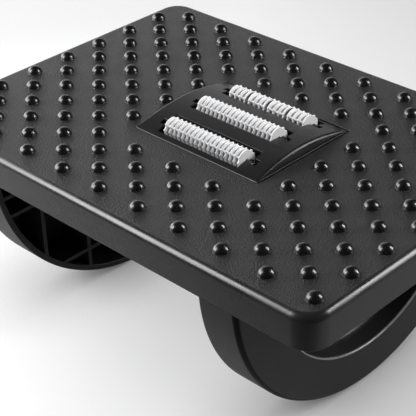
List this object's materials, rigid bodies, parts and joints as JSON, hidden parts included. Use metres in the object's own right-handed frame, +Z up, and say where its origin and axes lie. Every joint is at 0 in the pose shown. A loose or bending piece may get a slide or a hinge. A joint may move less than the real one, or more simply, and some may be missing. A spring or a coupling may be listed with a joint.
{
  "type": "rocking under-desk footrest",
  "caption": "Free-standing rocking footrest: a studded rectangular foot board on two half-round rockers, with ribbed foot-massage rollers in a cassette let into the board.",
  "frame": {"origin": "on the floor, under the middle of the foot board", "axes": "+X along the long side of the board, along the rollers; +Y from the user's side to the far side; +Z up. The object rocks about X."},
  "size_m": [0.45, 0.32, 0.1948],
  "materials": {
    "board_plastic": "fine pebble grain, satin, with glossy studs",
    "rocker_plastic": "fine even grain, matt",
    "cover_plastic": "smooth satin",
    "tray_plastic": "smooth, unseen black moulding",
    "roller_plastic": "smooth white moulding, soft gloss",
    "axle_steel": "blackened drawn rod",
    "screw_steel": "zinc-plated pan-head screw"
  },
  "bodies": {
    "footrest": {"foot_board": "board_plastic", "right_rocker": "rocker_plastic", "left_rocker": "rocker_plastic", "right_rocker_screw_1": "screw_steel", "right_rocker_screw_2": "screw_steel", "right_rocker_screw_3": "screw_steel", "right_rocker_screw_4": "screw_steel", "left_rocker_screw_1": "screw_steel", "left_rocker_screw_2": "screw_steel", "left_rocker_screw_3": "screw_steel", "left_rocker_screw_4": "screw_steel", "roller_cover": "cover_plastic", "roller_tray": "tray_plastic", "front_axle": "axle_steel", "middle_axle": "axle_steel", "rear_axle": "axle_steel", "tray_screw_1": "screw_steel", "tray_screw_2": "screw_steel", "tray_screw_3": "screw_steel", "tray_screw_4": "screw_steel"},
    "front_massage_roller": {"front_roller": "roller_plastic"},
    "middle_massage_roller": {"middle_roller": "roller_plastic"},
    "rear_massage_roller_1": {"rear_roller_1": "roller_plastic"},
    "rear_massage_roller_2": {"rear_roller_2": "roller_plastic"},
    "rear_massage_roller_3": {"rear_roller_3": "roller_plastic"},
    "rear_massage_roller_4": {"rear_roller_4": "roller_plastic"}
  },
  "joints": [
    {"name": "front_roller_spin", "type": "hinge", "parent": "footrest", "child": "front_massage_roller", "pos_m": [0.0077, -0.0337, 0.18071], "axis": [1, 0, 0], "continuous": true},
    {"name": "middle_roller_spin", "type": "hinge", "parent": "footrest", "child": "middle_massage_roller", "pos_m": [0.0077, 0.0049, 0.1851], "axis": [1, 0, 0], "continuous": true},
    {"name": "rear_roller_1_spin", "type": "hinge", "parent": "footrest", "child": "rear_massage_roller_1", "pos_m": [-0.02519, 0.0435, 0.18071], "axis": [1, 0, 0], "continuous": true},
    {"name": "rear_roller_2_spin", "type": "hinge", "parent": "footrest", "child": "rear_massage_roller_2", "pos_m": [-0.00326, 0.0435, 0.18071], "axis": [1, 0, 0], "continuous": true},
    {"name": "rear_roller_3_spin", "type": "hinge", "parent": "footrest", "child": "rear_massage_roller_3", "pos_m": [0.01866, 0.0435, 0.18071], "axis": [1, 0, 0], "continuous": true},
    {"name": "rear_roller_4_spin", "type": "hinge", "parent": "footrest", "child": "rear_massage_roller_4", "pos_m": [0.04059, 0.0435, 0.18071], "axis": [1, 0, 0], "continuous": true}
  ]
}
